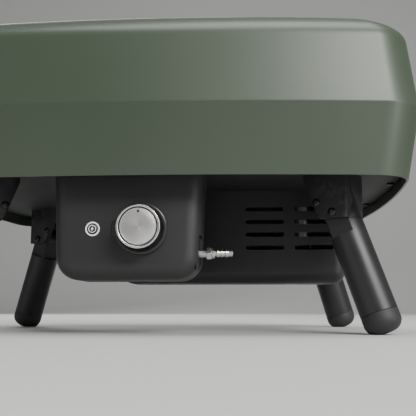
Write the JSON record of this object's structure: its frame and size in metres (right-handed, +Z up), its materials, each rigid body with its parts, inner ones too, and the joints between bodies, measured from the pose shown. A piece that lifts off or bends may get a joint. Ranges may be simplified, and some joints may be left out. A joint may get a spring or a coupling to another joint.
{
  "type": "portable gas oven",
  "caption": "Portable gas oven for baking on a stone, with a domed insulated body, an open mouth, gas controls and folding legs.",
  "frame": {"origin": "on the floor under the middle of the oven body, legs unfolded", "axes": "+Z up, +Y towards the cooking mouth, gas controls on the -Y side, +X to the right seen from the controls"},
  "size_m": [0.541, 0.452, 0.332],
  "materials": {
    "green_coat": "satin",
    "black_coat": "matte",
    "blanket": "matte",
    "chamber_steel": "brushed",
    "rail_iron": "matte",
    "stone": "matte",
    "brass_fittings": "satin",
    "pipe_aluminium": "satin",
    "insulator": "gloss",
    "probe_steel": "satin",
    "lead_cover": "matte",
    "lead_copper": "satin",
    "fastener_steel": "satin",
    "box_plastic": "matte",
    "knob_black": "satin",
    "rim_chrome": "polished",
    "knob_steel": "radial brushed",
    "white_mark": "satin",
    "module_plastic": "matte",
    "leg_metal": "satin anodised",
    "foot_rubber": "matte"
  },
  "bodies": {
    "oven": {"outer_shell": "green_coat", "base_pan": "black_coat", "insulation": "blanket", "chamber_liner": "chamber_steel", "mouth_frame": "black_coat", "stone_rails": "rail_iron", "baking_stone": "stone", "burner_tube": "chamber_steel", "burner_guard": "chamber_steel", "burner_riser": "chamber_steel", "venturi_tube": "chamber_steel", "air_shutter": "chamber_steel", "gas_injector": "brass_fittings", "manifold_pipe": "pipe_aluminium", "spark_electrode": "insulator", "spark_lead": "lead_cover", "thermocouple": "probe_steel", "thermocouple_lead": "lead_copper", "burner_housing": "black_coat", "housing_cleats": "chamber_steel", "housing_screws": "fastener_steel", "control_box": "box_plastic", "control_backplate": "black_coat", "backplate_screws": "fastener_steel", "gas_valve": "brass_fittings", "panel_nut": "fastener_steel", "valve_spring": "fastener_steel", "knob_bezel": "knob_black", "igniter_ring": "white_mark", "igniter_module": "module_plastic", "igniter_battery": "module_plastic", "inlet_plate": "black_coat", "inlet_pipe": "brass_fittings", "inlet_nut": "fastener_steel", "hose_barb": "fastener_steel", "pan_screws": "fastener_steel", "bracket_screws": "fastener_steel", "leg_bracket_fl": "black_coat", "leg_bracket_fr": "black_coat", "leg_bracket_rl": "black_coat", "leg_bracket_rr": "black_coat", "pivot_bolts": "fastener_steel", "bracket_bolts": "fastener_steel"},
    "valve_push": {"push_collar": "fastener_steel"},
    "knob": {"valve_stem": "fastener_steel", "knob_skirt": "knob_black", "knob_rim": "rim_chrome", "knob_face": "knob_steel", "knob_pointer": "white_mark"},
    "igniter": {"igniter_button": "knob_black"},
    "leg_front_left": {"leg_fl": "leg_metal", "foot_fl": "foot_rubber"},
    "leg_front_right": {"leg_fr": "leg_metal", "foot_fr": "foot_rubber"},
    "leg_rear_left": {"leg_rl": "leg_metal", "foot_rl": "foot_rubber"},
    "leg_rear_right": {"leg_rr": "leg_metal", "foot_rr": "foot_rubber"}
  },
  "joints": [
    {"name": "leg_front_left_fold", "type": "hinge", "parent": "oven", "child": "leg_front_left", "pos_m": [0.1885, 0.128, 0.122], "axis": [-0.5299, 0.848, 0], "range_deg": [0, 110]},
    {"name": "leg_front_right_fold", "type": "hinge", "parent": "oven", "child": "leg_front_right", "pos_m": [-0.1885, 0.128, 0.122], "axis": [-0.5299, -0.848, 0], "range_deg": [0, 110]},
    {"name": "leg_rear_left_fold", "type": "hinge", "parent": "oven", "child": "leg_rear_left", "pos_m": [0.1885, -0.128, 0.122], "axis": [0.5299, 0.848, 0], "range_deg": [0, 110]},
    {"name": "leg_rear_right_fold", "type": "hinge", "parent": "oven", "child": "leg_rear_right", "pos_m": [-0.1885, -0.128, 0.122], "axis": [0.5299, -0.848, 0], "range_deg": [0, 110]},
    {"name": "knob_push", "type": "slide", "parent": "oven", "child": "valve_push", "axis": [0, 1, 0], "range_m": [0, 0.0025], "stiffness_N_per_m": 1200, "springref_m": -0.001},
    {"name": "knob_turn", "type": "hinge", "parent": "valve_push", "child": "knob", "pos_m": [-0.0115, -0.193, 0.102], "axis": [0, -1, 0], "range_deg": [0, 180]},
    {"name": "igniter_push", "type": "slide", "parent": "oven", "child": "igniter", "axis": [0, 1, 0], "range_m": [0, 0.0015], "stiffness_N_per_m": 1500, "springref_m": -0.001}
  ]
}
